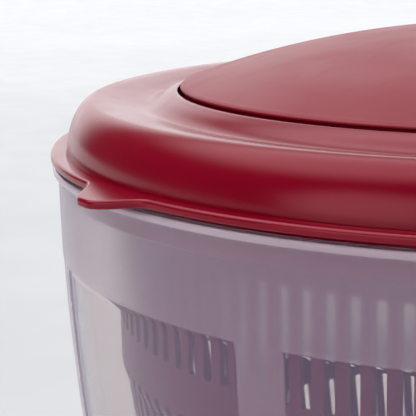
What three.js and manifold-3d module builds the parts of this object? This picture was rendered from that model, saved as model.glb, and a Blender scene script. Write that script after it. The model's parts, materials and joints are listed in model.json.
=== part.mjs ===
// Crank salad spinner: bowl, slotted basket, domed crank lid and its gear train. Millimetres, +Z up.
import * as THREE from 'three';
import { mergeVertices } from 'three/addons/utils/BufferGeometryUtils.js';
import Module from 'manifold-3d';

const wasm = await Module();
wasm.setup();

// Heights are measured from the table, radii from the spin axis.
const FLANGE_Z = 150; // upper face of the lid flange
const FLANGE_R = 130;
const SEAM_R = 95.7; // running gap between dome and lid
const DOME_Z = 165.4; // edge of the domed top
const DOME_RISE = 14.8;
const DOME_POWER = 2.34;
const TAB_REACH = 7.6;
const TAB_HALF_DEG = 6.2;
const TAB_AT_DEG = -91.3;

const WINDOWS = 9;
const WINDOW_DEG = 35;
const STRIP_AT_DEG = -72;
const WINDOW_TOP_Z = 123;
const WINDOW_FOOT_Z = 29;
const WINDOW_DEPTH = 1;

const SLOTS = 31;
const SLOT_AT_DEG = -64.95;
const SLOT_W = 2.6;
const SLOT_ROWS = [[106.2, 132.4], [61.3, 95.5], [27, 50]];

const MODULE = 2;
const RING_TEETH = 48;
const IDLER_TEETH = 18;
const PINION_TEETH = 12;
const IDLER_R = (MODULE * (PINION_TEETH + IDLER_TEETH)) / 2;
const GEAR_Z = 156;
const GEAR_H = 8;
const PRESSURE = (20 * Math.PI) / 180;

const KNOB_R = 79; // knob axis from the spin axis
const RING_SCREW_R = 62;
const RETAINER_SCREW_R = 63.25;
const LUGS = 4;

const deg = (a) => (a * Math.PI) / 180;

const FINISHES = {
  red: { color: 0x8f1024, roughness: 0.38, metalness: 0 },
  clear: { color: 0xd8cfdb, roughness: 0.45, metalness: 0, transparent: true, opacity: 0.6 },
  white: { color: 0xf0efea, roughness: 0.5, metalness: 0 },
  rubber: { color: 0x4a4a4e, roughness: 0.85, metalness: 0 },
  steel: { color: 0xb8babd, roughness: 0.3, metalness: 1 },
};

// ---- closed bodies ----

// A body turned about Z from an outline of [radius, height]. The outline closes on itself or on the axis.
function turned(outline, sides, startDeg = 0) {
  const loop = outline[0][0] === 0 ? outline : [...outline, outline[0]];
  const points = loop.map(([r, z]) => new THREE.Vector2(r, z));
  const g = new THREE.LatheGeometry(points, sides, deg(startDeg + 90));
  return outward(bare(g.rotateX(Math.PI / 2)));
}

// Only positions, with shared corners merged and the empty triangles on the axis dropped.
function bare(g) {
  const plain = g.clone();
  Object.keys(plain.attributes).forEach((k) => k !== 'position' && plain.deleteAttribute(k));
  const merged = mergeVertices(plain, 1e-4);
  const t = merged.index.array;
  const kept = [];
  for (let i = 0; i < t.length; i += 3) {
    const [a, b, c] = t.slice(i, i + 3);
    if (a !== b && b !== c && c !== a) kept.push(a, b, c);
  }
  merged.setIndex(kept);
  return merged;
}

// Turns the faces outward when the enclosed volume comes out negative.
function outward(g) {
  const p = g.attributes.position;
  const t = g.index.array;
  const [a, b, c] = [new THREE.Vector3(), new THREE.Vector3(), new THREE.Vector3()];
  let volume = 0;
  for (let i = 0; i < t.length; i += 3) {
    a.fromBufferAttribute(p, t[i]);
    b.fromBufferAttribute(p, t[i + 1]);
    c.fromBufferAttribute(p, t[i + 2]);
    volume += a.dot(b.cross(c));
  }
  if (volume < 0) {
    for (let i = 0; i < t.length; i += 3) [t[i], t[i + 1]] = [t[i + 1], t[i]];
  }
  return g;
}

// An upright prism from a flat outline and its holes.
function prism(outline, z0, z1, holes = []) {
  const shape = new THREE.Shape(outline.map(([x, y]) => new THREE.Vector2(x, y)));
  holes.forEach((h) => shape.holes.push(new THREE.Path(h.map(([x, y]) => new THREE.Vector2(x, y)))));
  const g = new THREE.ExtrudeGeometry(shape, { depth: z1 - z0, bevelEnabled: false });
  return outward(bare(g.translate(0, 0, z0)));
}

const circle = (r, n, x = 0, y = 0) => Array.from({ length: n }, (_, k) => {
  const a = (2 * Math.PI * k) / n;
  return [x + r * Math.cos(a), y + r * Math.sin(a)];
});

const rod = (r, z0, z1, sides = 12) => turned([[0, z0], [r, z0], [r, z1], [0, z1]], sides);

const placed = (g, r, angleDeg) => g.clone()
  .translate(r, 0, 0)
  .applyMatrix4(new THREE.Matrix4().makeRotationZ(deg(angleDeg)));

const around = (g, r, count, startDeg = 0) => Array.from({ length: count }, (_, k) => (
  placed(g, r, startDeg + (360 * k) / count)));

function body(g) {
  const p = bare(g);
  return new wasm.Manifold(new wasm.Mesh({
    numProp: 3,
    vertProperties: new Float32Array(p.attributes.position.array),
    triVerts: new Uint32Array(p.index.array),
  }));
}

function surface(m) {
  const mesh = m.getMesh();
  const g = new THREE.BufferGeometry();
  g.setAttribute('position', new THREE.BufferAttribute(new Float32Array(mesh.vertProperties), 3));
  g.setIndex(Array.from(mesh.triVerts));
  return g;
}

function combine(base, joined, cut) {
  let m = body(base);
  joined.forEach((g) => { m = m.add(body(g)); });
  cut.forEach((g) => { m = m.subtract(body(g)); });
  return surface(m);
}

// An upright wedge from the axis outwards, between two angles under half a turn apart.
function wedge(fromDeg, toDeg, z0, z1) {
  const points = [[0, 0]];
  for (let k = 0; k <= 4; k += 1) {
    const a = deg(fromDeg + ((toDeg - fromDeg) * k) / 4);
    points.push([200 * Math.cos(a), 200 * Math.sin(a)]);
  }
  return prism(points, z0, z1);
}

// ---- bowl ----

// Outer wall of the bowl, frosted surface, from the foot up to the rim.
const BOWL_WALL = [
  [79, 0.8], [86, 3], [102.5, 13], [113.5, 29], [120.6, 53], [124.2, 79], [127.2, 112], [128.2, 143.4],
];

const BOWL_INSIDE = [[125.8, 145.2], [124.4, 114], [121.2, 80], [117.4, 54], [110.4, 31], [99, 14.6], [84, 6]];

function bowlWallAt(z) {
  const i = BOWL_WALL.findIndex((p) => p[1] > z);
  const [[r0, z0], [r1, z1]] = [BOWL_WALL[i - 1], BOWL_WALL[i]];
  return r0 + ((r1 - r0) * (z - z0)) / (z1 - z0);
}

function bowl() {
  const pitch = 360 / WINDOWS;
  const shell = turned([
    [0, 2.9], [72.7, 2.9], [72.7, 0.8], ...BOWL_WALL,
    [129.5, 144.2], [129.2, 145.7], [128.3, 146.8], [127.4, 147.2], [126.3, 147.2], ...BOWL_INSIDE,
    [9, 5.6], [8.2, 13], [3.4, 13], [3.4, 6], [0, 6],
  ], 54, STRIP_AT_DEG);
  const heights = [WINDOW_FOOT_Z, 53, 79, 112, WINDOW_TOP_Z];
  const face = heights.map((z) => [bowlWallAt(z) - WINDOW_DEPTH, z]);
  const band = turned([...face, [134, WINDOW_TOP_Z], [134, WINDOW_FOOT_Z]], 54, STRIP_AT_DEG);
  const strips = [];
  for (let k = 0; k < WINDOWS; k += 1) {
    const mid = STRIP_AT_DEG + pitch * k;
    const half = (pitch - WINDOW_DEG) / 2;
    strips.push(wedge(mid - half, mid + half, WINDOW_FOOT_Z - 5, WINDOW_TOP_Z + 5));
  }
  return combine(shell, [], [combine(band, [], strips)]);
}

const baseDisc = () => turned([[0, 0], [71, 0], [72.4, 0.9], [72.4, 2.6], [0, 2.6]], 48);

const pivotPin = () => turned([[0, 6.3], [3.1, 6.3], [3.1, 23.4], [1.8, 25], [0, 25]], 16);

const pivotBush = () => turned([
  [0, 25.4], [3.2, 24.8], [3.2, 13.4], [9.5, 13.4], [9.5, 14.8], [6.2, 14.8], [6.2, 27.2], [0, 27.2],
], 20);

// ---- basket ----

function basket() {
  const pitch = 360 / SLOTS;
  const outside = [[88, 15.2], [98.5, 22], [104, 38.5], [107.9, 63.5], [112.9, 97.5], [113.4, 99]];
  const inside = [[111.5, 99.5], [106.1, 63.8], [102.2, 39], [97, 23.5], [87.4, 17]];
  const shell = turned([
    ...outside, [113.5, 139.6], [115.5, 140.4], [115.5, 142.5], [111.6, 142.5],
    ...inside, [9.4, 17], [9.4, 29.4], [0, 29.4], [0, 27.5], [6.5, 27.5], [6.5, 15.2],
  ], 2 * SLOTS, SLOT_AT_DEG + pitch / 4);
  const cuts = [];
  SLOT_ROWS.forEach(([z0, z1]) => {
    const slot = new THREE.BoxGeometry(26, SLOT_W, z1 - z0).translate(0, 0, (z0 + z1) / 2);
    cuts.push(...around(slot, 106, SLOTS, SLOT_AT_DEG));
  });
  const notch = new THREE.BoxGeometry(12, 11, 6).translate(0, 0, 140.5);
  cuts.push(...around(notch, 113.5, LUGS, 45));
  const drain = new THREE.BoxGeometry(44, 4, 8).translate(0, 0, 16);
  cuts.push(...around(drain, 56, 16));
  return combine(shell, [], cuts);
}

// ---- lid ----

// Height of the dome's outer surface at a radius.
const domeTop = (r) => DOME_Z + DOME_RISE * (1 - (r / (SEAM_R - 0.6)) ** DOME_POWER);

// Outline of the flange bulge, from its foot up to its crest.
function bulge() {
  const [footR, footZ, crestR, crestZ] = [125.7, FLANGE_Z - 0.2, 118.4, FLANGE_Z + 12.7];
  return Array.from({ length: 4 }, (_, i) => {
    const t = (Math.PI / 2) * (i / 3);
    return [
      crestR + (footR - crestR) * Math.cos(t) ** (2 / 1.89),
      footZ + (crestZ - footZ) * Math.sin(t) ** (2 / 1.89),
    ];
  });
}

function tabOutline() {
  const points = [];
  for (let k = 0; k <= 14; k += 1) {
    const a = (k / 7 - 1) * TAB_HALF_DEG;
    const s = Math.min(1, Math.max(0, (TAB_HALF_DEG - Math.abs(a)) / 5.6));
    const r = FLANGE_R - 0.7 + (TAB_REACH + 0.7) * s * s * (3 - 2 * s);
    points.push([r * Math.cos(deg(a + TAB_AT_DEG)), r * Math.sin(deg(a + TAB_AT_DEG))]);
  }
  [TAB_HALF_DEG, -TAB_HALF_DEG].forEach((a) => {
    points.push([126.6 * Math.cos(deg(a + TAB_AT_DEG)), 126.6 * Math.sin(deg(a + TAB_AT_DEG))]);
  });
  return points;
}

function lidShell() {
  const wellR = SEAM_R + 0.5;
  const floorZ = FLANGE_Z + 3;
  const shell = turned([
    [8.4, 147], [12, 147], [12, 150.8], [98.6, 150.8], [98.6, 161], [104.6, 157.9], [118, 160.3],
    [122.6, 153], [122.9, 139.5], [124.9, 139.5], [125.2, 147.6], [126, 148],
    [FLANGE_R, 148], [FLANGE_R, 149.7], [FLANGE_R - 0.4, FLANGE_Z], ...bulge(), [110, 161.6],
    [104, 160.2], [97.2, 164.1], [wellR, 164], [wellR, floorZ], [12, floorZ], [12, 154], [8.4, 154],
  ], 48, -90);
  const tab = prism(tabOutline(), 148.1, 149.8);
  const cuts = [
    ...around(rod(2.8, 149, 155), IDLER_R, 3),
    ...around(rod(1.9, 149, 155), RETAINER_SCREW_R, 3, 60),
  ];
  return combine(shell, [tab], cuts);
}

const shaftBush = () => turned([
  [4.1, 146.7], [8.1, 146.7], [8.1, 154.3], [11, 154.3], [11, 155.7], [4.1, 155.7],
], 20);

function retainingRing() {
  const ring = turned([[61, 153.3], [65.5, 153.3], [65.5, 160.3], [58, 160.3], [58, 158.2], [61, 158.2]], 36);
  return combine(ring, [], around(rod(1.5, 152, 159, 8), RETAINER_SCREW_R, 3, 60));
}

const screw = (headR, headZ, neckZ, shankR, tipZ) => turned([
  [0, headZ], [headR * 0.8, headZ], [headR, (headZ + neckZ) / 2], [headR, neckZ], [shankR, neckZ],
  [shankR, tipZ - shankR], [0, tipZ],
], 8);

const retainerScrew = (k) => placed(screw(3.4, 148.4, 150.5, 1.2, 158.4), RETAINER_SCREW_R, 60 + 120 * k);

const idlerPin = (k) => placed(turned([
  [0, 150.9], [2.5, 150.9], [2.5, 153.3], [5.5, 153.3], [5.5, 155.5], [2.5, 155.5], [2.5, 166.6], [0, 167.2],
], 12), IDLER_R, 120 * k);

// Open spring clip in the XY plane.
function clip(inner, outer, z0, z1) {
  const points = [];
  for (let k = 0; k <= 8; k += 1) {
    const a = deg(28 + 38 * k);
    points.push([outer * Math.cos(a), outer * Math.sin(a)]);
  }
  for (let k = 8; k >= 0; k -= 1) {
    const a = deg(28 + 38 * k);
    points.push([inner * Math.cos(a), inner * Math.sin(a)]);
  }
  return prism(points, z0, z1);
}

const idlerClip = (k) => placed(clip(2.8, 5, GEAR_Z + GEAR_H + 0.4, GEAR_Z + GEAR_H + 1.4), IDLER_R, 120 * k);

// ---- crank ----

function crankDome() {
  const top = [0, 32, 56, 75, 88].map((r) => [r, domeTop(r)]);
  const under = [88, 70, 42, 0].map((r) => [r, domeTop(r) - 2.4]);
  const edge = SEAM_R - 0.1;
  const shell = turned([
    ...top, [edge - 0.9, DOME_Z + 0.2], [edge, 165], [edge, 164.6], [94.4, 164.4], [94.4, 158],
    [92.6, 158], [92.6, 164], ...under,
  ], 48, -90);
  const pad = placed(rod(12, 165.8, 175.2, 20), KNOB_R, 0);
  const bosses = around(rod(3.6, 168.3, 173.4, 10), RING_SCREW_R, 3, 60);
  const cuts = [
    placed(rod(3.3, 160, 180, 16), KNOB_R, 0),
    ...around(rod(1.5, 168, 171.4, 10), RING_SCREW_R, 3, 60),
  ];
  return combine(shell, [pad, ...bosses], cuts);
}

const involute = (a) => Math.tan(a) - a;

// Outline of an external gear, or of the space inside an internal one, with a tooth or a space at startDeg.
function gearOutline(teeth, tipR, rootR, slack, perFlank, startDeg = 0) {
  const pitchR = (MODULE * teeth) / 2;
  const baseR = pitchR * Math.cos(PRESSURE);
  const halfAtPitch = Math.PI / (2 * teeth) + slack / pitchR;
  const halfAt = (r) => halfAtPitch + involute(PRESSURE) - involute(Math.acos(Math.min(1, baseR / r)));
  const radii = perFlank === 2 ? [rootR, tipR] : [rootR, (rootR + tipR) / 2, tipR];
  const points = [];
  for (let k = 0; k < teeth; k += 1) {
    const mid = deg(startDeg) + (2 * Math.PI * k) / teeth;
    radii.forEach((r) => points.push([r, mid - halfAt(r)]));
    [...radii].reverse().forEach((r) => points.push([r, mid + halfAt(r)]));
  }
  return points.map(([r, a]) => [r * Math.cos(a), r * Math.sin(a)]);
}

function ringGear() {
  const pitchR = (MODULE * RING_TEETH) / 2;
  const space = gearOutline(RING_TEETH, pitchR + 2.4, pitchR - 1.6, 0.25, 2, 360 / RING_TEETH / 2);
  const toothed = prism(circle(57.5, 36), GEAR_Z, 168, [space]);
  const lip = turned([[56, GEAR_Z], [60, GEAR_Z], [60, 157.8], [56, 157.8]], 36);
  const flange = turned([[56, 166], [65.8, 166], [65.8, 168], [56, 168]], 36);
  return combine(toothed, [lip, flange], around(rod(1.8, 165, 169, 10), RING_SCREW_R, 3, 60));
}

const ringScrew = (k) => placed(screw(3.2, 163.7, 165.7, 1.2, 171.2), RING_SCREW_R, 60 + 120 * k);

const knobSpindle = () => placed(turned([
  [0, 163.2], [5, 163.2], [6, 164], [6, 165.5], [3, 165.5], [3, 205.2], [2.2, 206], [0, 206],
], 16), KNOB_R, 0);

const knob = () => placed(turned([
  [3.2, 175.8], [11, 175.8], [10.6, 178.6], [8.4, 186], [9.6, 194], [12.4, 199.5], [12.8, 203.4],
  [11.4, 206.6], [8, 207.8], [8, 204.3], [3.2, 204.3],
], 20), KNOB_R, 0);

const knobClip = () => placed(clip(3.2, 5.6, 204.6, 205.3), KNOB_R, 0);

const knobCap = () => placed(turned([
  [0, 206.4], [7.7, 206.4], [7.7, 208], [5, 209.1], [0, 209.6],
], 20), KNOB_R, 0);

// ---- gears and drive ----

function idlerGear(k) {
  const pitchR = (MODULE * IDLER_TEETH) / 2;
  const half = 360 / IDLER_TEETH / 2;
  const outline = gearOutline(IDLER_TEETH, pitchR + 1.7, pitchR - 2.4, -0.25, 2, half);
  return placed(prism(outline, GEAR_Z, GEAR_Z + GEAR_H, [circle(2.6, 14)]), IDLER_R, 120 * k);
}

function drivePinion() {
  const pitchR = (MODULE * PINION_TEETH) / 2;
  const outline = gearOutline(PINION_TEETH, pitchR + 1.7, pitchR - 2.4, -0.25, 3);
  return prism(outline, GEAR_Z, GEAR_Z + GEAR_H, [circle(4.3, 16)]);
}

const driveShaft = () => turned([
  [2.3, 137], [4, 137], [4, 164.2], [3.3, 164.2], [3.3, 165.7], [4, 165.7], [4, 167.6], [3.4, 168.2],
  [0, 168.2], [0, 148], [2.3, 147],
], 16);

const shaftCirclip = () => clip(3.6, 7, GEAR_Z + GEAR_H + 0.4, GEAR_Z + GEAR_H + 1.5);

function drivePlate() {
  const plate = turned([
    [4.3, 137.4], [13, 137.4], [13, 138.2], [97, 138.2], [98, 137.6], [107.6, 137.6], [107.6, 140.8],
    [98, 140.8], [97, 140.4], [13, 140.4], [12, 146.3], [4.3, 146.3],
  ], 30);
  const lug = new THREE.BoxGeometry(10, 9, 2.6).translate(0, 0, 139.4);
  const web = turned([[22, 137], [92, 137], [92, 142], [22, 142]], 30);
  const spokes = [0, 60, 120, 180, 240, 300].map((a) => wedge(a - 8, a + 8, 136, 143));
  return combine(plate, around(lug, 110.4, LUGS, 45), [combine(web, [], spokes)]);
}

const driveScrew = () => turned([
  [0, 133.6], [5.4, 133.6], [8, 135], [8, 136.7], [2, 136.7], [2, 144.6], [0, 146],
], 12);

// ---- assembly ----

const three = (name, make, colour) => [0, 1, 2].map((k) => [`${name}_${k + 1}`, () => make(k), colour]);

const PARTS = [
  ['bowl', bowl, 'clear'],
  ['base_disc', baseDisc, 'rubber'],
  ['pivot_pin', pivotPin, 'steel'],
  ['pivot_bush', pivotBush, 'white'],
  ['basket', basket, 'red'],
  ['lid_shell', lidShell, 'red'],
  ['shaft_bush', shaftBush, 'white'],
  ['retaining_ring', retainingRing, 'white'],
  ...three('retainer_screw', retainerScrew, 'steel'),
  ...three('idler_pin', idlerPin, 'steel'),
  ...three('idler_clip', idlerClip, 'steel'),
  ['crank_dome', crankDome, 'red'],
  ['ring_gear', ringGear, 'white'],
  ...three('ring_screw', ringScrew, 'steel'),
  ['knob_spindle', knobSpindle, 'steel'],
  ['knob_clip', knobClip, 'steel'],
  ['knob', knob, 'red'],
  ['knob_cap', knobCap, 'red'],
  ...three('idler_gear', idlerGear, 'white'),
  ['drive_pinion', drivePinion, 'white'],
  ['drive_shaft', driveShaft, 'steel'],
  ['shaft_circlip', shaftCirclip, 'steel'],
  ['drive_plate', drivePlate, 'white'],
  ['drive_screw', driveScrew, 'steel'],
];

function build() {
  const group = new THREE.Group();
  group.name = 'salad_spinner';
  PARTS.forEach(([name, make, finish]) => {
    const geometry = make().toNonIndexed();
    geometry.computeVertexNormals();
    const mesh = new THREE.Mesh(geometry, new THREE.MeshStandardMaterial(FINISHES[finish]));
    mesh.name = name;
    group.add(mesh);
  });
  return group;
}

export default build();
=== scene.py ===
import json
import math

import bmesh
import bpy
import numpy as np
from mathutils import Matrix, Vector

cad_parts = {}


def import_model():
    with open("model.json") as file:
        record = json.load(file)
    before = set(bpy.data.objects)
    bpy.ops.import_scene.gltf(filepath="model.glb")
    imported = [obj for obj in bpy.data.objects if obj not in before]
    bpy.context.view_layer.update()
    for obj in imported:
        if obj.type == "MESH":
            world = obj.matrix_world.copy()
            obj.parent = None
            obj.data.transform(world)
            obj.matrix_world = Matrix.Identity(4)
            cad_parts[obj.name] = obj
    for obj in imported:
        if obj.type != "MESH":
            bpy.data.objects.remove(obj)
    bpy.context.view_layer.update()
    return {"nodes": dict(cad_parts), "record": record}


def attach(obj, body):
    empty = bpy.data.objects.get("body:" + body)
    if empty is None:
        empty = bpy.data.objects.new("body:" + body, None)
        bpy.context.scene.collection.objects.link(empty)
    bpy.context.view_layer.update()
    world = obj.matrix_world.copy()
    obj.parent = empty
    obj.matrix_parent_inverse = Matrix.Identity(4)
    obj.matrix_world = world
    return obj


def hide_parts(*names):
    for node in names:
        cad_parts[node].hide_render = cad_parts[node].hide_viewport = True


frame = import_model()

# Outlines are pairs of [radius, height] in millimetres. Meshes are in metres, in the frame of the part.
MM = 0.001

FLANGE_Z = 150.0
FLANGE_R = 130.0
SEAM_R = 95.7
DOME_Z = 165.4
DOME_RISE = 14.8
DOME_POWER = 2.34
DOME_WALL = 2.4
CREST = (118.4, 162.7)
BULGE_FOOT = (125.7, 149.8)
BULGE_POWER = 2 / 1.89
TAB_AT = -91.3
TAB_HALF_DEG = 6.2
TAB_REACH = 7.6
TAB_EDGE_DEG = 5.6
TAB_DROOP = 0.9

WINDOWS = 9
STRIP_AT = -72.0
STRIP_HALF_DEG = 2.55
WINDOW_FOOT_Z = 29.0
WINDOW_TOP_Z = 123.0
WINDOW_DEPTH = 0.35

SLOTS = 124
SLOT_AT = -64.95
SLOT_W = 2.6
SLOT_CORNER = 0.55
SLOT_ROWS = ((27.0, 50.0), (61.3, 95.5), (106.2, 132.4))
DRAINS = 16
LUGS = 4

KNOB_R = 79.0

# Camera place and directions, and the strengths of the studio's lobes of light.
EYE = Vector((0.26315, -0.28219, 0.20804))
AHEAD = Vector((-0.81524, 0.54367, -0.19953)).normalized()
RIGHT = Vector((0.55756, 0.82997, -0.01664)).normalized()
LENS = 122.4

AMBIENT = 0.055
SWEEP = 0.62
HORIZON = 0.70
OVERHEAD = 2.7
STRIP = 2.05
BACKDROP = 0.78
SMALL = 1e-6


# ---------------------------------------------------------------- outlines

def rounded(points, closed=True, turn=14.0):
    """The outline with each corner that states a radius turned into an arc."""
    out, n = [], len(points)
    for i, p in enumerate(points):
        here = np.array(p[:2], float)
        if len(p) < 3 or (not closed and i in (0, n - 1)):
            out.append(here)
            continue
        a = np.array(points[i - 1][:2], float) - here
        b = np.array(points[(i + 1) % n][:2], float) - here
        la, lb = np.linalg.norm(a), np.linalg.norm(b)
        a, b = a / la, b / lb
        inner = math.acos(max(-1.0, min(1.0, float(a @ b))))
        if inner > math.radians(176):
            out.append(here)
            continue
        reach = min(p[2] / math.tan(inner / 2), 0.47 * la, 0.47 * lb)
        radius = reach * math.tan(inner / 2)
        mid = (a + b) / np.linalg.norm(a + b)
        centre = here + mid * radius / math.sin(inner / 2)
        start, end = here + a * reach - centre, here + b * reach - centre
        steps = max(2, math.ceil(math.degrees(math.pi - inner) / turn))
        sweep = math.atan2(start[0] * end[1] - start[1] * end[0], float(start @ end))
        for k in range(steps + 1):
            t = sweep * k / steps
            out.append(centre + (start[0] * math.cos(t) - start[1] * math.sin(t),
                                 start[0] * math.sin(t) + start[1] * math.cos(t)))
    return [(float(r), float(z)) for r, z in out]


def curve(points, per=6):
    """A smooth curve through the points."""
    p = [np.array(q, float) for q in points]
    p = [2 * p[0] - p[1], *p, 2 * p[-1] - p[-2]]
    out = []
    for i in range(1, len(p) - 2):
        ta = np.linalg.norm(p[i] - p[i - 1]) ** 0.5
        tb = np.linalg.norm(p[i + 1] - p[i]) ** 0.5
        tc = np.linalg.norm(p[i + 2] - p[i + 1]) ** 0.5
        m1 = tb * ((p[i] - p[i - 1]) / ta - (p[i + 1] - p[i - 1]) / (ta + tb)) + (p[i + 1] - p[i])
        m2 = tb * ((p[i + 2] - p[i + 1]) / tc - (p[i + 2] - p[i]) / (tb + tc)) + (p[i + 1] - p[i])
        for k in range(per):
            t = k / per
            out.append((2 * t**3 - 3 * t**2 + 1) * p[i] + (t**3 - 2 * t**2 + t) * m1
                       + (3 * t**2 - 2 * t**3) * p[i + 1] + (t**3 - t**2) * m2)
    out.append(p[-2])
    return [(float(r), float(z)) for r, z in out]


def radius_at(points, z):
    """Radius of a rising outline at a height."""
    zs = [q[1] for q in points]
    return float(np.interp(z, zs, [q[0] for q in points]))


# ------------------------------------------------------------------ meshes

def make(name, verts, faces, materials, slots=None, sharp=32.0):
    """A closed mesh with outward faces, smooth but for edges sharper than the angle given."""
    mesh = bpy.data.meshes.new(name)
    mesh.from_pydata([tuple(v) for v in verts], [], faces)
    for m in materials:
        mesh.materials.append(m)
    if slots is not None:
        mesh.polygons.foreach_set("material_index", slots)
    bm = bmesh.new()
    bm.from_mesh(mesh)
    bmesh.ops.recalc_face_normals(bm, faces=bm.faces)
    bm.to_mesh(mesh)
    bm.free()
    mesh.shade_smooth()
    mesh.set_sharp_from_angle(angle=math.radians(sharp))
    obj = bpy.data.objects.new(name, mesh)
    bpy.context.scene.collection.objects.link(obj)
    return obj


def even(sides, start=0.0):
    return [start + 360.0 * k / sides for k in range(sides)]


def apart(a, b):
    """Degrees between two angles."""
    return abs((a - b + 180.0) % 360.0 - 180.0)


def swept(name, outline_at, angles, materials, slot_of=None, centre=(0.0, 0.0), sharp=32.0):
    """A body swept about an upright axis.

    outline_at(angle) is a loop of [radius, height], open where it meets the axis.
    """
    loops = [outline_at(a) for a in angles]
    n, cols = len(loops[0]), len(angles)
    on_axis = [abs(loops[0][j][0]) < 1e-9 for j in range(n)]
    verts, index = [], np.zeros((cols, n), int)
    for j in range(n):
        for i, a in enumerate(angles):
            if on_axis[j] and i:
                index[i, j] = index[0, j]
                continue
            r, z = loops[i][j]
            c, s = math.cos(math.radians(a)), math.sin(math.radians(a))
            index[i, j] = len(verts)
            verts.append(((centre[0] + r * c) * MM, (centre[1] + r * s) * MM, z * MM))
    faces, slots = [], []
    last = n - 1 if on_axis[0] and on_axis[-1] else n
    for i in range(cols):
        k = (i + 1) % cols
        for j in range(last):
            m = (j + 1) % n
            quad = [index[i, j], index[k, j], index[k, m], index[i, m]]
            face = [int(v) for v in dict.fromkeys(quad)]
            if len(face) < 3:
                continue
            faces.append(face)
            slots.append(slot_of(i, j) if slot_of else 0)
    return make(name, verts, faces, materials, slots, sharp)


def turned(name, outline, material, sides=96, centre=(0.0, 0.0), sharp=32.0):
    return swept(name, lambda a: outline, even(sides), [material], centre=centre, sharp=sharp)


class Skin:
    """A sheet with openings: each point has a place on both faces, and open edges are closed between them."""

    def __init__(self):
        self.near, self.far, self.faces = [], [], []

    def point(self, angle, near, far, shift=0.0):
        index = len(self.near)
        for side, (r, z) in ((self.near, near), (self.far, far)):
            a = math.radians(angle) + (math.asin(shift / r) if shift and r else 0.0)
            side.append((r * math.cos(a) * MM, r * math.sin(a) * MM, z * MM))
        return index

    def ring(self, columns, near, far):
        """columns are angles, or pairs of angle and sideways shift in millimetres."""
        return [self.point(*((c[0], near, far, c[1]) if isinstance(c, tuple) else (c, near, far)))
                for c in columns]

    def band(self, a, b, cell=lambda i: "full"):
        """Joins two rings. cell(i) says what stays between columns i and i + 1.

        It is full, open, or the name of the corner that a slot's chamfer keeps.
        """
        n = len(a)
        for i in range(n):
            k = (i + 1) % n
            quad = {"a0": a[i], "a1": a[k], "b1": b[k], "b0": b[i]}
            what = cell(i)
            if what == "full":
                self.faces.append(list(quad.values()))
            elif what != "open":
                names = list(quad)
                at = names.index(what)
                self.faces.append([quad[names[at]], quad[names[(at + 1) % 4]], quad[names[(at - 1) % 4]]])

    def bridge(self, a, b, angles_a, angles_b):
        """Joins two rings that have different columns."""
        i, j, n, m = 0, 0, len(a), len(b)
        while i < n or j < m:
            ahead_a = angles_a[(i + 1) % n] + 360.0 * ((i + 1) // n)
            ahead_b = angles_b[(j + 1) % m] + 360.0 * ((j + 1) // m)
            if j >= m or (i < n and ahead_a <= ahead_b):
                self.faces.append([a[i % n], a[(i + 1) % n], b[j % m]])
                i += 1
            else:
                self.faces.append([a[i % n], b[(j + 1) % m], b[j % m]])
                j += 1

    def fan(self, pole, ring):
        for i in range(len(ring)):
            self.faces.append([pole, ring[i], ring[(i + 1) % len(ring)]])

    def build(self, name, material, sharp=32.0):
        count = len(self.near)
        uses = {}
        for f in self.faces:
            for p, q in zip(f, f[1:] + f[:1]):
                uses.setdefault((min(p, q), max(p, q)), []).append((p, q))
        faces = [list(f) for f in self.faces]
        faces += [[count + v for v in reversed(f)] for f in self.faces]
        open_edges = [pairs[0] for pairs in uses.values() if len(pairs) == 1]
        faces += [[q, p, p + count, q + count] for p, q in open_edges]
        used = sorted({i for f in faces for i in f})
        place = {v: k for k, v in enumerate(used)}
        points = self.near + self.far
        verts = [points[v] for v in used]
        return make(name, verts, [[place[v] for v in f] for f in faces], [material], sharp=sharp)


def soften(obj, width_mm):
    """Small rounded edges."""
    b = obj.modifiers.new("edges", "BEVEL")
    b.width = width_mm * MM
    b.segments = 2
    b.limit_method = "ANGLE"
    b.angle_limit = math.radians(40.0)
    b.use_clamp_overlap = True
    b.harden_normals = False
    return obj


# --------------------------------------------------------------- materials

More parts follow.
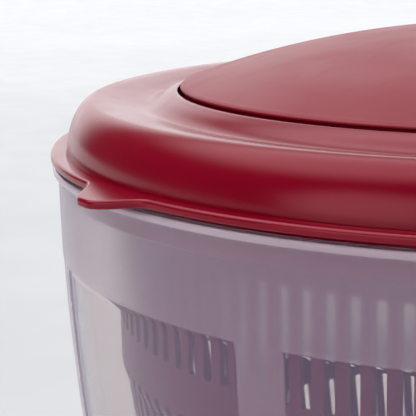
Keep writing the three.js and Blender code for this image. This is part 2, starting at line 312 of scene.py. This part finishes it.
class Nodes:
    """A node tree in object coordinates around one Principled shader."""

    def __init__(self, name):
        self.material = bpy.data.materials.new(name)
        self.material.use_nodes = True
        self.tree = self.material.node_tree
        self.tree.nodes.clear()
        self.out = self.add("ShaderNodeOutputMaterial")
        self.shader = self.add("ShaderNodeBsdfPrincipled")
        self.link(self.shader.outputs[0], self.out.inputs["Surface"])
        self.place = self.add("ShaderNodeTexCoord").outputs["Object"]

    def add(self, kind, **values):
        n = self.tree.nodes.new(kind)
        for k, v in values.items():
            setattr(n, k, v)
        return n

    def link(self, a, b):
        self.tree.links.new(a, b)

    def stretched(self, scale):
        n = self.add("ShaderNodeMapping")
        n.inputs["Scale"].default_value = scale
        self.link(self.place, n.inputs["Vector"])
        return n.outputs[0]

    def noise(self, scale, detail=2.0, rough=0.5, where=None):
        n = self.add("ShaderNodeTexNoise")
        n.inputs["Scale"].default_value = scale
        n.inputs["Detail"].default_value = detail
        n.inputs["Roughness"].default_value = rough
        self.link(where or self.place, n.inputs["Vector"])
        return n.outputs["Fac"]

    def spread(self, value, low, high, a=0.35, b=0.65):
        n = self.add("ShaderNodeMapRange")
        n.interpolation_type = "SMOOTHSTEP"
        for key, v in (("From Min", a), ("From Max", b), ("To Min", low), ("To Max", high)):
            n.inputs[key].default_value = v
        self.link(value, n.inputs["Value"])
        return n.outputs[0]

    def math(self, operation, a, b):
        n = self.add("ShaderNodeMath", operation=operation)
        for socket, v in zip(n.inputs, (a, b)):
            if isinstance(v, (int, float)):
                socket.default_value = v
            else:
                self.link(v, socket)
        return n.outputs[0]

    def blend(self, factor, a, b):
        n = self.add("ShaderNodeMix", data_type="RGBA")
        self.link(factor, n.inputs["Factor"])
        for socket, v in ((n.inputs[6], a), (n.inputs[7], b)):
            if isinstance(v, tuple):
                socket.default_value = (*v, 1.0)
            else:
                self.link(v, socket)
        return n.outputs[2]

    def bump(self, height, distance, strength=1.0, under=None):
        n = self.add("ShaderNodeBump")
        n.inputs["Distance"].default_value = distance
        n.inputs["Strength"].default_value = strength
        self.link(height, n.inputs["Height"])
        if under is not None:
            self.link(under, n.inputs["Normal"])
        return n.outputs[0]

    def set(self, **sockets):
        for name, v in sockets.items():
            s = self.shader.inputs[name.replace("_", " ")]
            if isinstance(v, tuple):
                s.default_value = (*v, 1.0)
            elif isinstance(v, (int, float)):
                s.default_value = v
            else:
                self.link(v, s)


def red_plastic(name, dark, light, rough, ripple=0.0):
    """Satin moulded plastic: fine spark texture, faint flow marks, a little colour drift."""
    n = Nodes(name)
    drift = n.spread(n.noise(9.0, 3.0), 0.0, 1.0)
    n.set(Base_Color=n.blend(drift, dark, light))
    wide = n.spread(n.noise(22.0, 3.0, 0.6), rough - 0.035, rough + 0.035)
    scuff = n.spread(n.noise(260.0, 4.0, 0.7, n.stretched((1.0, 0.35, 1.0))), 0.0, 0.05, 0.55, 0.75)
    n.set(Roughness=n.math("ADD", wide, scuff))
    grain = n.bump(n.noise(2600.0, 2.0, 0.6), 0.00002, 0.5)
    if ripple:
        rings = n.add("ShaderNodeTexWave", wave_type="RINGS", rings_direction="Z", wave_profile="SIN")
        rings.inputs["Scale"].default_value = 14.0
        rings.inputs["Distortion"].default_value = 1.2
        rings.inputs["Detail"].default_value = 1.0
        n.link(n.place, rings.inputs["Vector"])
        grain = n.bump(rings.outputs["Fac"], ripple, 1.0, grain)
    n.set(Normal=n.bump(n.noise(55.0, 2.0), 0.00006, 0.5, grain))
    n.set(IOR=1.5, Specular_Tint=(1.0, 0.45, 0.5))
    return n.material


def bowl_plastic(name, haze, milk, rough, grain):
    """Natural polypropylene: a clear part that passes warm light and a haze that throws blue light back."""
    n = Nodes(name)
    cloud = n.spread(n.noise(30.0, 3.0, 0.6), 0.0, 1.0)
    rough_map = n.spread(n.noise(900.0, 3.0, 0.6), rough * 0.9, rough * 1.1)
    fine = n.bump(n.noise(2400.0, 2.0, 0.6), grain, 0.6)
    normal = n.bump(n.noise(40.0, 2.0), 0.00008, 0.4, fine)
    wave = n.bump(n.noise(40.0, 2.0), 0.00003, 0.4)
    n.set(Base_Color=n.blend(cloud, (0.95, 0.91, 0.85), (0.97, 0.93, 0.87)))
    n.set(Roughness=rough_map, Normal=wave, Transmission_Weight=1.0, IOR=1.49)
    clear = n.shader
    n.shader = n.add("ShaderNodeBsdfPrincipled")
    n.set(Base_Color=n.blend(cloud, milk, tuple(min(1.0, c + 0.05) for c in milk)), IOR=1.49)
    n.set(Roughness=rough_map, Normal=normal)
    mix = n.add("ShaderNodeMixShader")
    mix.inputs[0].default_value = haze
    n.link(clear.outputs[0], mix.inputs[1])
    n.link(n.shader.outputs[0], mix.inputs[2])
    n.link(mix.outputs[0], n.out.inputs["Surface"])
    return n.material


def white_plastic():
    n = Nodes("white_plastic")
    n.set(Base_Color=n.blend(n.spread(n.noise(14.0, 3.0), 0.0, 1.0), (0.78, 0.77, 0.72), (0.84, 0.83, 0.80)))
    n.set(Roughness=n.spread(n.noise(120.0, 4.0, 0.6), 0.38, 0.5))
    n.set(Normal=n.bump(n.noise(1500.0, 2.0), 0.00002, 0.5))
    n.set(Subsurface_Weight=0.08, Subsurface_Scale=0.004, IOR=1.48)
    return n.material


def steel():
    n = Nodes("steel")
    turning = n.noise(900.0, 3.0, 0.6, n.stretched((0.2, 0.2, 3.0)))
    n.set(Base_Color=n.blend(n.spread(turning, 0.0, 1.0), (0.50, 0.50, 0.52), (0.66, 0.66, 0.68)))
    n.set(Metallic=1.0, Roughness=n.spread(turning, 0.2, 0.36))
    n.set(Normal=n.bump(turning, 0.00001, 0.4))
    return n.material


def rubber():
    n = Nodes("rubber")
    cloud = n.spread(n.noise(60.0, 4.0), 0.0, 1.0)
    n.set(Base_Color=n.blend(cloud, (0.035, 0.035, 0.04), (0.06, 0.06, 0.065)))
    n.set(Roughness=n.spread(n.noise(300.0, 3.0), 0.7, 0.88))
    n.set(Normal=n.bump(n.noise(1800.0, 3.0), 0.00004, 0.7))
    return n.material


def tabletop():
    n = Nodes("tabletop")
    cloud = n.spread(n.noise(2.2, 4.0), 0.0, 1.0)
    n.set(Base_Color=n.blend(cloud, (0.635, 0.635, 0.645), (0.665, 0.665, 0.67)))
    n.set(Roughness=n.spread(n.noise(20.0, 3.0), 0.38, 0.46))
    n.set(Normal=n.bump(n.noise(500.0, 3.0), 0.00005, 0.3))
    # Painted light: the floor glows white with no lamp, its strength rising from nothing near the middle to
    # 0.14 at 2.4 m out, so it is painted darker near the bowl and brighter far off.
    n.set(Specular_IOR_Level=0.5, Emission_Color=(1.0, 1.0, 1.0))
    far = n.add("ShaderNodeVectorMath", operation="LENGTH")
    n.link(n.place, far.inputs[0])
    n.set(Emission_Strength=n.spread(far.outputs["Value"], 0.0, 0.14, 0.3, 2.4))
    return n.material


RED_LID = red_plastic("red_lid", (0.245, 0.0, 0.013), (0.27, 0.0, 0.016), 0.19)
RED_DOME = red_plastic("red_dome", (0.265, 0.0, 0.014), (0.295, 0.0, 0.017), 0.41, ripple=0.00012)
RED_BASKET = red_plastic("red_basket", (0.165, 0.0, 0.030), (0.195, 0.0, 0.036), 0.34)
FROSTED = bowl_plastic("bowl_frosted", 0.23, (0.94, 0.70, 0.98), 0.24, 0.00003)
POLISHED = bowl_plastic("bowl_polished", 0.10, (0.68, 0.46, 0.95), 0.03, 0.000001)
# The rim bead gets a brighter, hazier finish. Part of this is the real extra haze of the thicker moulding,
# and part is a painted highlight for the pale band that the rim's lit top shows.
RIM_HAZE_AND_HIGHLIGHT = bowl_plastic("bowl_rim_haze_and_highlight", 0.55, (0.93, 0.76, 0.88), 0.24, 0.00001)
WHITE = white_plastic()
STEEL = steel()
RUBBER = rubber()


# -------------------------------------------------------------------- bowl

WALL_OUT = curve([(79, 0.8), (86, 3), (102.5, 13), (113.5, 29), (120.6, 53), (124.2, 79), (126.0, 97),
                  (127.2, 112), (127.85, 126), (128.2, 143.4)], 8)
WALL_IN = curve([(125.8, 145.2), (124.4, 114), (121.2, 80), (117.4, 54), (110.4, 31), (99, 14.6), (84, 6)], 8)


def bowl():
    edge = 0.45  # degrees on each side of a window's upright edge
    columns = []
    for k in range(WINDOWS):
        mid = STRIP_AT + 360.0 * k / WINDOWS
        half, room = STRIP_HALF_DEG, 360.0 / WINDOWS - STRIP_HALF_DEG
        start, span = mid + half + edge, room - half - 2 * edge
        columns += [(mid + d, 0.0) for d in (-half + edge, 0.0, half - edge)]
        columns += [(mid + half - edge / 3, 0.12), (mid + half + edge / 3, 0.88), (start, 1.0)]
        columns += [(start + span * t / 30, 1.0) for t in (0.3, *range(1, 30), 29.7, 30)]
        columns += [(mid + room - edge / 3, 0.88), (mid + room + edge / 3, 0.12)]
    depth_of = {a: w for a, w in columns}
    angles = sorted(depth_of)

    steps = ((-1.3, 0.0), (-0.3, 0.0), (-0.1, 0.12), (0.1, 0.88), (0.3, 1.0), (1.3, 1.0))
    ledge = [(WINDOW_FOOT_Z + dz, w) for dz, w in steps]
    ledge += [(WINDOW_TOP_Z + dz, 1.0 - w) for dz, w in steps]
    rise = [q for q in WALL_OUT if all(abs(q[1] - z) > 1.6 for z in (WINDOW_FOOT_Z, WINDOW_TOP_Z))]
    wall = [(r, z, 1.0 if WINDOW_FOOT_Z < z < WINDOW_TOP_Z else 0.0) for r, z in rise]
    wall += [(radius_at(WALL_OUT, z), z, w) for z, w in ledge]
    wall.sort(key=lambda q: q[1])
    foot = [(0, 2.9), (40, 2.9)]
    foot += rounded([(60, 2.9), (72.7, 2.9, 0.5), (72.7, 0.8, 0.6), (78.2, 0.75)], False)
    rim = rounded([(128.2, 143.5), (128.4, 144.8, 1.0), (129.6, 145.1, 0.5), (129.7, 146.75, 0.7),
                   (126.3, 146.75, 0.4), (125.85, 145.4)], False, turn=9.0)
    floor = rounded([(80, 5.95), (60, 5.9), (30, 5.75), (9.2, 5.6, 1.0), (8.2, 13, 0.5), (3.4, 13, 0.3),
                     (3.4, 6.0), (0, 6.0)], False)
    before, after = len(foot), len(foot) + len(wall)

    def outline(a):
        w = depth_of[a]
        return [*foot, *((r - WINDOW_DEPTH * w * wz, z) for r, z, wz in wall), *rim, *WALL_IN, *floor]

    def face(i, j):
        if before <= j < after - 1:
            k = (i + 1) % len(angles)
            deep = min(depth_of[angles[i]], depth_of[angles[k]])
            if deep > 0.5 and wall[j - before][2] > 0.5 and wall[j - before + 1][2] > 0.5:
                return 1
            return 0
        if after <= j < after + len(rim) - 1:
            # Rim faces above 144.7 mm take the hazier rim finish, which is partly real haze and partly a
            # painted highlight along the rim.
            return 2 if rim[j - after][1] > 144.7 and rim[j - after + 1][0] > 128.3 else 0
        return 1 if j >= after + len(rim) - 1 else 0

    return swept("bowl_shell", outline, angles, [FROSTED, POLISHED, RIM_HAZE_AND_HIGHLIGHT], face, sharp=38.0)


bowl_shell = bowl()
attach(bowl_shell, "bowl")
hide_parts("bowl")


def base():
    treads = []
    for r in (12, 22, 32, 42, 52, 62):
        treads += [(r - 1.6, 0.0), (r - 1.2, 0.5), (r + 1.2, 0.5), (r + 1.6, 0.0)]
    outline = [(0, 0.0), *treads, (71.2, 0.0, 0.5), (72.4, 0.9, 0.5), (72.4, 2.6, 0.3), (30, 2.6), (0, 2.6)]
    return turned("foot_disc", rounded(outline, False), RUBBER, 144)


foot_disc = base()
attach(foot_disc, "bowl")
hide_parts("base_disc")


# ------------------------------------------------------------------ basket

def basket():
    skin = Skin()
    # floor and hub, drains of even width
    drain_r0, drain_r1 = 34.0, 78.0
    floor_columns = []
    for k in range(DRAINS):
        mid, pitch = 360.0 * k / DRAINS, 360.0 / DRAINS
        floor_columns += [(mid, -2.0), (mid, -1.2), (mid, 1.2), (mid, 2.0)]
        floor_columns += [(mid + pitch * 0.5 + d, 0.0) for d in (-3, 0, 3)]
    plain = [angle + math.degrees(shift / drain_r0) for angle, shift in floor_columns]
    pole = skin.point(0.0, (0.0, 27.5), (0.0, 29.4))
    stations = [((5.6, 27.5), (8.6, 29.4)), ((6.3, 27.3), (9.2, 29.1)), ((6.5, 26.6), (9.4, 28.4)),
                ((6.5, 16.4), (9.4, 18.2)), ((6.8, 15.5), (9.8, 17.3)), ((7.6, 15.2), (11.0, 17.0)),
                ((30, 15.2), (30, 17.0))]
    rings = [skin.ring(plain, *s) for s in stations]
    skin.fan(pole, rings[0])
    for a, b in zip(rings, rings[1:]):
        skin.band(a, b)
    drains = [skin.ring(floor_columns, (r, 15.2), (r, 17.0)) for r in (drain_r0, 34.8, 77.2, drain_r1)]
    skin.band(rings[-1], drains[0])

    def drain(part):
        def cell(i):
            at = i % 7
            if at > 2:
                return "full"
            if part == 1 or at == 1:
                return "open"
            return {(0, 0): "a0", (0, 2): "a1", (2, 0): "b0", (2, 2): "b1"}[(part, at)]
        return cell

    for part in range(3):
        skin.band(drains[part], drains[part + 1], drain(part))
    rim_angles = [a + math.degrees(math.asin(s / drain_r1)) for a, s in floor_columns]
    outer = skin.ring(rim_angles, (84.5, 15.2), (84.5, 17.0))
    skin.band(drains[3], outer)

    # wall: four columns at each slot, and the edges of the lug notches
    wall_r = 111.0
    half = math.degrees(SLOT_W / 2 / wall_r)
    inset = math.degrees(SLOT_CORNER / wall_r)
    kinds = {}
    for k in range(SLOTS):
        mid = (SLOT_AT + 360.0 * k / SLOTS) % 360.0
        for d, kind in ((-half, "L0"), (-half + inset, "L1"), (half - inset, "R1"), (half, "R0")):
            kinds[(mid + d) % 360.0] = kind
    notch = math.degrees(5.5 / 113.5)
    for k in range(LUGS):
        for d in (-notch, notch):
            kinds[(45.0 + 90.0 * k + d) % 360.0] = "N"
    columns = sorted(kinds)
    names = [kinds[a] for a in columns]
    first = names.index("L0")
    state_at = {}
    for k in range(len(columns)):
        i = (first + k) % len(columns)
        if names[i] != "N":
            state = {"L0": "left", "L1": "open", "R1": "right", "R0": "bar"}[names[i]]
        state_at[i] = state  # a notch edge keeps the state of the column before it

    outside_wall = curve([(88, 15.2), (93.5, 17.6), (98.5, 22), (101.8, 30), (104, 38.5), (106.1, 50),
                          (107.9, 63.5), (109.7, 76), (111.4, 88.2)], 4)
    outside_wall += [(111.75, 90.4), (112.3, 92.2), (113.0, 93.4), (113.35, 94.8), (113.4, 99), (113.5, 120),
                     (113.5, 137.4)]
    inside_wall = [(84.9, 17.0), (87.4, 17), (91.6, 18.3), (97.4, 23.1), (100.6, 30.2), (102.8, 39),
                   (104.9, 50), (106.7, 63.6), (108.5, 76.1), (110.2, 88.4), (110.6, 91), (111.7, 94.6),
                   (112.1, 97), (112.2, 99.5), (112.3, 120), (112.3, 137.4)]

    def station(z):
        return (radius_at(outside_wall, z), z), (radius_at(inside_wall, max(z, 17.05)), z)

    heights = [19.5, 22, 24.5, 31, 36, 43]
    for z0, z1 in SLOT_ROWS:
        heights += [z0, z0 + SLOT_CORNER, (z0 + z1) / 2, z1 - SLOT_CORNER, z1]
    heights += [55, 66, 72, 84, 88.5, 90.5, 92, 93.2, 94.4, 98, 102, 136.0, 137.5]
    heights = sorted(set(heights))
    pairs = [((86.6, 15.25), (85.8, 17.0)), ((89.2, 15.7), (87.6, 17.15)), ((92.6, 17.2), (90.6, 18.4))]
    pairs += [station(z) for z in heights]
    pairs += [((113.5, 139.4), (112.2, 139.4)), ((114.0, 139.9), (111.9, 139.9)),
              ((115.2, 140.3), (111.6, 140.5)), ((115.5, 140.7), (111.6, 141.1)),
              ((115.5, 142.1), (111.6, 141.9)), ((115.1, 142.5), (112.0, 142.5))]
    rings = [skin.ring(columns, *p) for p in pairs]
    skin.bridge(outer, rings[0], [a % 360.0 if a >= 0 else a for a in rim_angles], columns)

    def in_notch(i):
        a = (columns[i] + (columns[(i + 1) % len(columns)] - columns[i]) % 360.0 / 2) % 360.0
        return any(apart(a, 45.0 + 90.0 * k) < notch for k in range(LUGS))

    def wall_cell(za, zb):
        def cell(i):
            if za > 137.4:
                return "open" if in_notch(i) else "full"
            for z0, z1 in SLOT_ROWS:
                if za >= z0 - SMALL and zb <= z1 + SMALL:
                    s = state_at[i]
                    if s == "bar":
                        return "full"
                    if s == "open":
                        return "open"
                    if za < z0 + SMALL:
                        return "a0" if s == "left" else "a1"
                    if zb > z1 - SMALL:
                        return "b0" if s == "left" else "b1"
                    return "open"
            return "full"
        return cell

    for (pa, _), (pb, _), a, b in zip(pairs, pairs[1:], rings, rings[1:]):
        skin.band(a, b, wall_cell(pa[1], pb[1]))
    return skin.build("basket_shell", RED_BASKET, sharp=40.0)


basket_shell = basket()
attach(basket_shell, "basket")
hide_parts("basket")


# --------------------------------------------------------------------- lid

def bulge(steps=26):
    (fr, fz), (cr, cz) = BULGE_FOOT, CREST
    return [(cr + (fr - cr) * math.cos(t) ** BULGE_POWER, fz + (cz - fz) * math.sin(t) ** BULGE_POWER)
            for t in (math.pi / 2 * k / steps for k in range(steps))]


def tab_reach(a):
    s = min(1.0, max(0.0, (TAB_HALF_DEG - apart(a, TAB_AT)) / TAB_EDGE_DEG))
    return TAB_REACH * s * s * (3 - 2 * s)


def lid():
    under = rounded([(12, 147, 0.4), (12, 150.8, 0.6), (98.6, 150.8, 1.2), (98.6, 161, 1.0),
                     (104.6, 157.9, 2.5), (118, 160.3, 3.0), (122.6, 153, 2.0), (122.9, 139.5, 0.7),
                     (124.9, 139.5, 0.8), (125.2, 147.6, 0.3), (126, 148, 0.3), (128, 148)], False)
    edge = rounded([(128.1, 148), (FLANGE_R, 148, 0.5), (FLANGE_R, FLANGE_Z, 0.85),
                    (127.2, FLANGE_Z), (126.3, FLANGE_Z - 0.02)], False)
    ring = curve([CREST, (115.6, 162.55), (111, 161.75), (107, 160.85), (104.4, 160.55), (102.4, 161.2),
                  (99.8, 162.9), (97.7, 164.0)], 5)
    well = rounded([(97.3, 164.1), (96.35, 164.1, 0.3), (96.2, 153, 0.8), (50, 153),
                    (12, 153, 0.3), (12, 154, 0.4), (8.4, 154, 0.3), (8.4, 147.0, 0.3)], False)
    start, stop = len(under), len(under) + len(edge)
    base = [*under, *edge, *bulge(), *ring, *well]

    def outline(a):
        reach = tab_reach(a)
        if not reach:
            return base
        out = list(base)
        for j in range(start, stop):
            r, z = base[j]
            inner, width = (127.0, 2.2) if z > 149 else (128.0, 1.2)
            share = min(1.0, max(0.0, (r - inner) / width))
            out[j] = (r + reach * share, z - TAB_DROOP * share * reach / TAB_REACH)
        return out

    fine = [TAB_AT + 0.35 * k for k in range(-24, 25)]
    rest = [a for a in even(360, TAB_AT) if apart(a, TAB_AT) > 8.6]
    angles = sorted(set(a % 360.0 for a in fine + rest))
    return swept("lid_cover", outline, angles, [RED_LID], sharp=34.0)


lid_cover = lid()
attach(lid_cover, "lid")
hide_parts("lid_shell")


def dome_top(r):
    return DOME_Z + DOME_RISE * (1 - (min(r, SEAM_R - 0.6) / (SEAM_R - 0.6)) ** DOME_POWER)


def crank():
    top = [(r, dome_top(r)) for r in [*np.linspace(0, 88, 45), 90, 91.5, 92.8, 93.7, 94.3]]
    edge = SEAM_R - 0.1
    lip = rounded([(94.7, DOME_Z + 0.2), (edge, 165.05, 0.4), (edge, 164.5, 0.2), (94.4, 164.4, 0.3),
                   (94.4, 158, 0.5), (92.6, 158, 0.5), (92.6, 164.0, 0.8),
                   (90, dome_top(90) - DOME_WALL)], False)
    under = [(r, dome_top(r) - DOME_WALL) for r in np.linspace(86, 0, 30)]
    return turned("crank_cover", [*top, *lip, *under], RED_DOME, 288)


crank_cover = crank()
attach(crank_cover, "crank")
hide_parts("crank_dome")


def knob_boss():
    """Raised seat of the knob, flared into the dome."""
    flare, radius = 3.2, 12.0
    inner = [(3.3, 166.0), (3.3, 174.9), (3.6, 175.2), (10.9, 175.2), (11.6, 174.9), (radius, 174.2)]

    def outline(a):
        c, s = math.cos(math.radians(a)), math.sin(math.radians(a))
        out = list(inner)
        for k in range(9):
            t = math.pi / 2 * k / 8
            rho = radius + flare * (1 - math.cos(t))
            lift = flare * (1 - math.sin(t))
            out.append((rho, dome_top(math.hypot(KNOB_R + rho * c, rho * s)) + lift - 0.03))
        rho = radius + flare
        out.append((rho, dome_top(math.hypot(KNOB_R + rho * c, rho * s)) - 1.0))
        out += [(radius, 166.4), (radius - 0.4, 166.0)]
        return out

    return swept("knob_seat", outline, even(96), [RED_DOME], centre=(KNOB_R, 0.0), sharp=34.0)


knob_seat = knob_boss()
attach(knob_seat, "crank")

knob_grip = turned("knob_grip", rounded([
    (3.2, 175.8, 0.3), (11, 175.8, 0.7), (10.6, 178.6, 1.2), *curve([(9.4, 182.2), (8.5, 187), (9.0, 192),
    (10.6, 196.4), (12.2, 199.8)], 5), (12.8, 203.4, 1.6), (11.4, 206.8, 1.6), (8.1, 207.9, 0.4),
    (8.05, 204.3), (3.2, 204.3, 0.2)]), RED_LID, 96, (KNOB_R, 0.0))
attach(knob_grip, "knob")
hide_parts("knob")

knob_top = turned("knob_top", rounded([
    (0, 206.4), (7.7, 206.4, 0.3), (7.7, 208.2, 0.5), (5.4, 209.1, 3.0), (2.6, 209.5, 4.0),
    (0, 209.6)], False), RED_LID, 72, (KNOB_R, 0.0))
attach(knob_top, "knob")
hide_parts("knob_cap")


# ------------------------------------------------------------- drive plate

def plate():
    skin = Skin()
    spokes, lugs = [60.0 * k for k in range(6)], [45.0 + 90.0 * k for k in range(LUGS)]
    lug_half = math.degrees(4.5 / 107.6)
    spoke_half = 8.0
    edges = {(a + d) % 360.0 for a in spokes for d in (-spoke_half, spoke_half)}
    edges |= {(a + d) % 360.0 for a in lugs for d in (-lug_half, lug_half)}
    clear = {a for a in even(120) if all(apart(a, e) > 0.6 for e in edges)}
    columns = sorted(clear | edges)

    def middle(i):
        return (columns[i] + (columns[(i + 1) % len(columns)] - columns[i]) % 360.0 / 2) % 360.0

    def near_any(a, places, half):
        return any(apart(a, p) < half for p in places)

    pairs = [((4.3, 137.4), (4.3, 146.3)), ((12.4, 137.4), (11.8, 146.3)), ((12.8, 137.6), (12.2, 145.9)),
             ((13, 138.2), (12.9, 141.0)), ((14, 138.2), (13.8, 140.4)), ((22, 138.2), (22, 140.4)),
             ((92, 138.2), (92, 140.4)), ((97, 138.2), (97, 140.4)), ((98, 137.6), (98, 140.8)),
             ((107.6, 137.6), (107.6, 140.8))]
    rings = [skin.ring(columns, *p) for p in pairs]
    spoked = 5  # the band from the hub at 22 mm out to the rim at 92 mm
    for j, (a, b) in enumerate(zip(rings, rings[1:])):
        if j == spoked:
            skin.band(a, b, lambda i: "full" if near_any(middle(i), spokes, spoke_half) else "open")
        else:
            skin.band(a, b)
    tips = []
    for c in columns:
        at = min(lugs, key=lambda p: apart(c, p))
        off = math.radians((c - at + 180.0) % 360.0 - 180.0)
        place, shift = (at, 107.6 * math.sin(off)) if apart(c, at) < 4 else (c, 0.0)
        tips.append(skin.point(place, (115.3, 138.2), (115.3, 140.6), shift))
    skin.band(rings[-1], tips, lambda i: "full" if near_any(middle(i), lugs, lug_half) else "open")
    return soften(skin.build("drive_spider", WHITE, sharp=35.0), 0.35)


drive_spider = plate()
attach(drive_spider, "drive")
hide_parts("drive_plate")

spider_bolt = turned("spider_bolt", rounded([
    (0, 134.6), (1.6, 134.6), (1.8, 133.8, 0.2), (5.2, 133.6, 0.9), (8, 135, 0.8), (8, 136.7, 0.4),
    (2, 136.7), (2, 144.6, 0.3), (0, 146)], False), STEEL, 64)
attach(spider_bolt, "drive")
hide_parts("drive_screw")

bush = turned("lid_bush", rounded([
    (4.1, 146.7, 0.3), (8.1, 146.7, 0.3), (8.1, 154.3), (11, 154.3, 0.3), (11, 155.7, 0.4),
    (4.1, 155.7, 0.4)]), WHITE, 72)
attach(bush, "lid")
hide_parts("shaft_bush")


# -------------------------------------------- inner pieces kept from the CAD

FINISH = {"steel": STEEL, "white_plastic": WHITE, "rubber": RUBBER, "red_lid": RED_LID}
slot_of = {s["node"]: s["material_slot"] for s in frame["record"]["subparts"]}
for node, obj in frame["nodes"].items():
    if obj.hide_render or slot_of[node] not in FINISH:
        continue
    for s in obj.material_slots:
        s.material = FINISH[slot_of[node]]


# -------------------------------------------------- floor, light and camera

def floor():
    reach, sides = 8.0, 96
    angles = [math.radians(a) for a in even(sides)]
    verts = [(reach * math.cos(a), reach * math.sin(a), 0.0) for a in angles]
    faces = [[i, (i + 1) % sides, sides] for i in range(sides)]
    obj = make("table", [*verts, (0, 0, 0)], faces, [tabletop()])
    if obj.data.polygons[0].normal.z < 0:
        obj.data.flip_normals()
    return obj


floor()


def look():
    """The camera, at the photograph's angle."""
    data = bpy.data.cameras.new("camera")
    data.sensor_width = 36.0
    data.lens = LENS
    data.clip_start = 0.01
    data.clip_end = 40.0
    obj = bpy.data.objects.new("camera", data)
    bpy.context.scene.collection.objects.link(obj)
    up = RIGHT.cross(AHEAD).normalized()
    side = AHEAD.cross(up).normalized()
    turn = Matrix((side, up, -AHEAD)).transposed()
    obj.matrix_world = Matrix.Translation(EYE) @ turn.to_4x4()
    bpy.context.scene.camera = obj


look()

# Soft lobes of light: azimuth, elevation, where full and where gone in degrees from the middle, strength.
LOBES = (
    (110, 4, 54, 78, SWEEP),
    (152, 9, 15, 33, HORIZON),
    (221, 70, 20, 44, OVERHEAD),
    (279, 6, 12, 26, STRIP),
)


def world():
    """Ambient light, a bright sweep behind, soft lights overhead and to the right, and a pale backdrop."""
    w = bpy.data.worlds.new("studio")
    bpy.context.scene.world = w
    w.use_nodes = True
    t = w.node_tree
    t.nodes.clear()
    out = t.nodes.new("ShaderNodeOutputWorld")
    paint = t.nodes.new("ShaderNodeBackground")
    t.links.new(paint.outputs[0], out.inputs["Surface"])
    where = t.nodes.new("ShaderNodeTexCoord")
    total = None
    for azimuth, elevation, full_deg, edge_deg, strength in LOBES:
        base = 0.0 if total else AMBIENT
        a, e = math.radians(azimuth), math.radians(elevation)
        toward = t.nodes.new("ShaderNodeVectorMath")
        toward.operation = "DOT_PRODUCT"
        middle = (math.cos(e) * math.cos(a), math.cos(e) * math.sin(a), math.sin(e))
        toward.inputs[1].default_value = middle
        t.links.new(where.outputs["Generated"], toward.inputs[0])
        level = t.nodes.new("ShaderNodeMapRange")
        level.interpolation_type = "SMOOTHSTEP"
        level.inputs["From Min"].default_value = math.cos(math.radians(edge_deg))
        level.inputs["From Max"].default_value = math.cos(math.radians(full_deg))
        level.inputs["To Min"].default_value = base
        level.inputs["To Max"].default_value = strength + base
        t.links.new(toward.outputs["Value"], level.inputs["Value"])
        if total:
            add = t.nodes.new("ShaderNodeMath")
            add.operation = "ADD"
            t.links.new(total, add.inputs[0])
            t.links.new(level.outputs[0], add.inputs[1])
            total = add.outputs[0]
        else:
            total = level.outputs[0]
    seen = t.nodes.new("ShaderNodeMix")
    path = t.nodes.new("ShaderNodeLightPath")
    t.links.new(path.outputs["Is Camera Ray"], seen.inputs["Factor"])
    t.links.new(total, seen.inputs["A"])
    seen.inputs["B"].default_value = BACKDROP
    paint.inputs["Color"].default_value = (0.97, 0.98, 1.0, 1.0)
    t.links.new(seen.outputs["Result"], paint.inputs["Strength"])


world()

scene = bpy.context.scene
scene.view_settings.view_transform = "Standard"
scene.view_settings.look = "None"
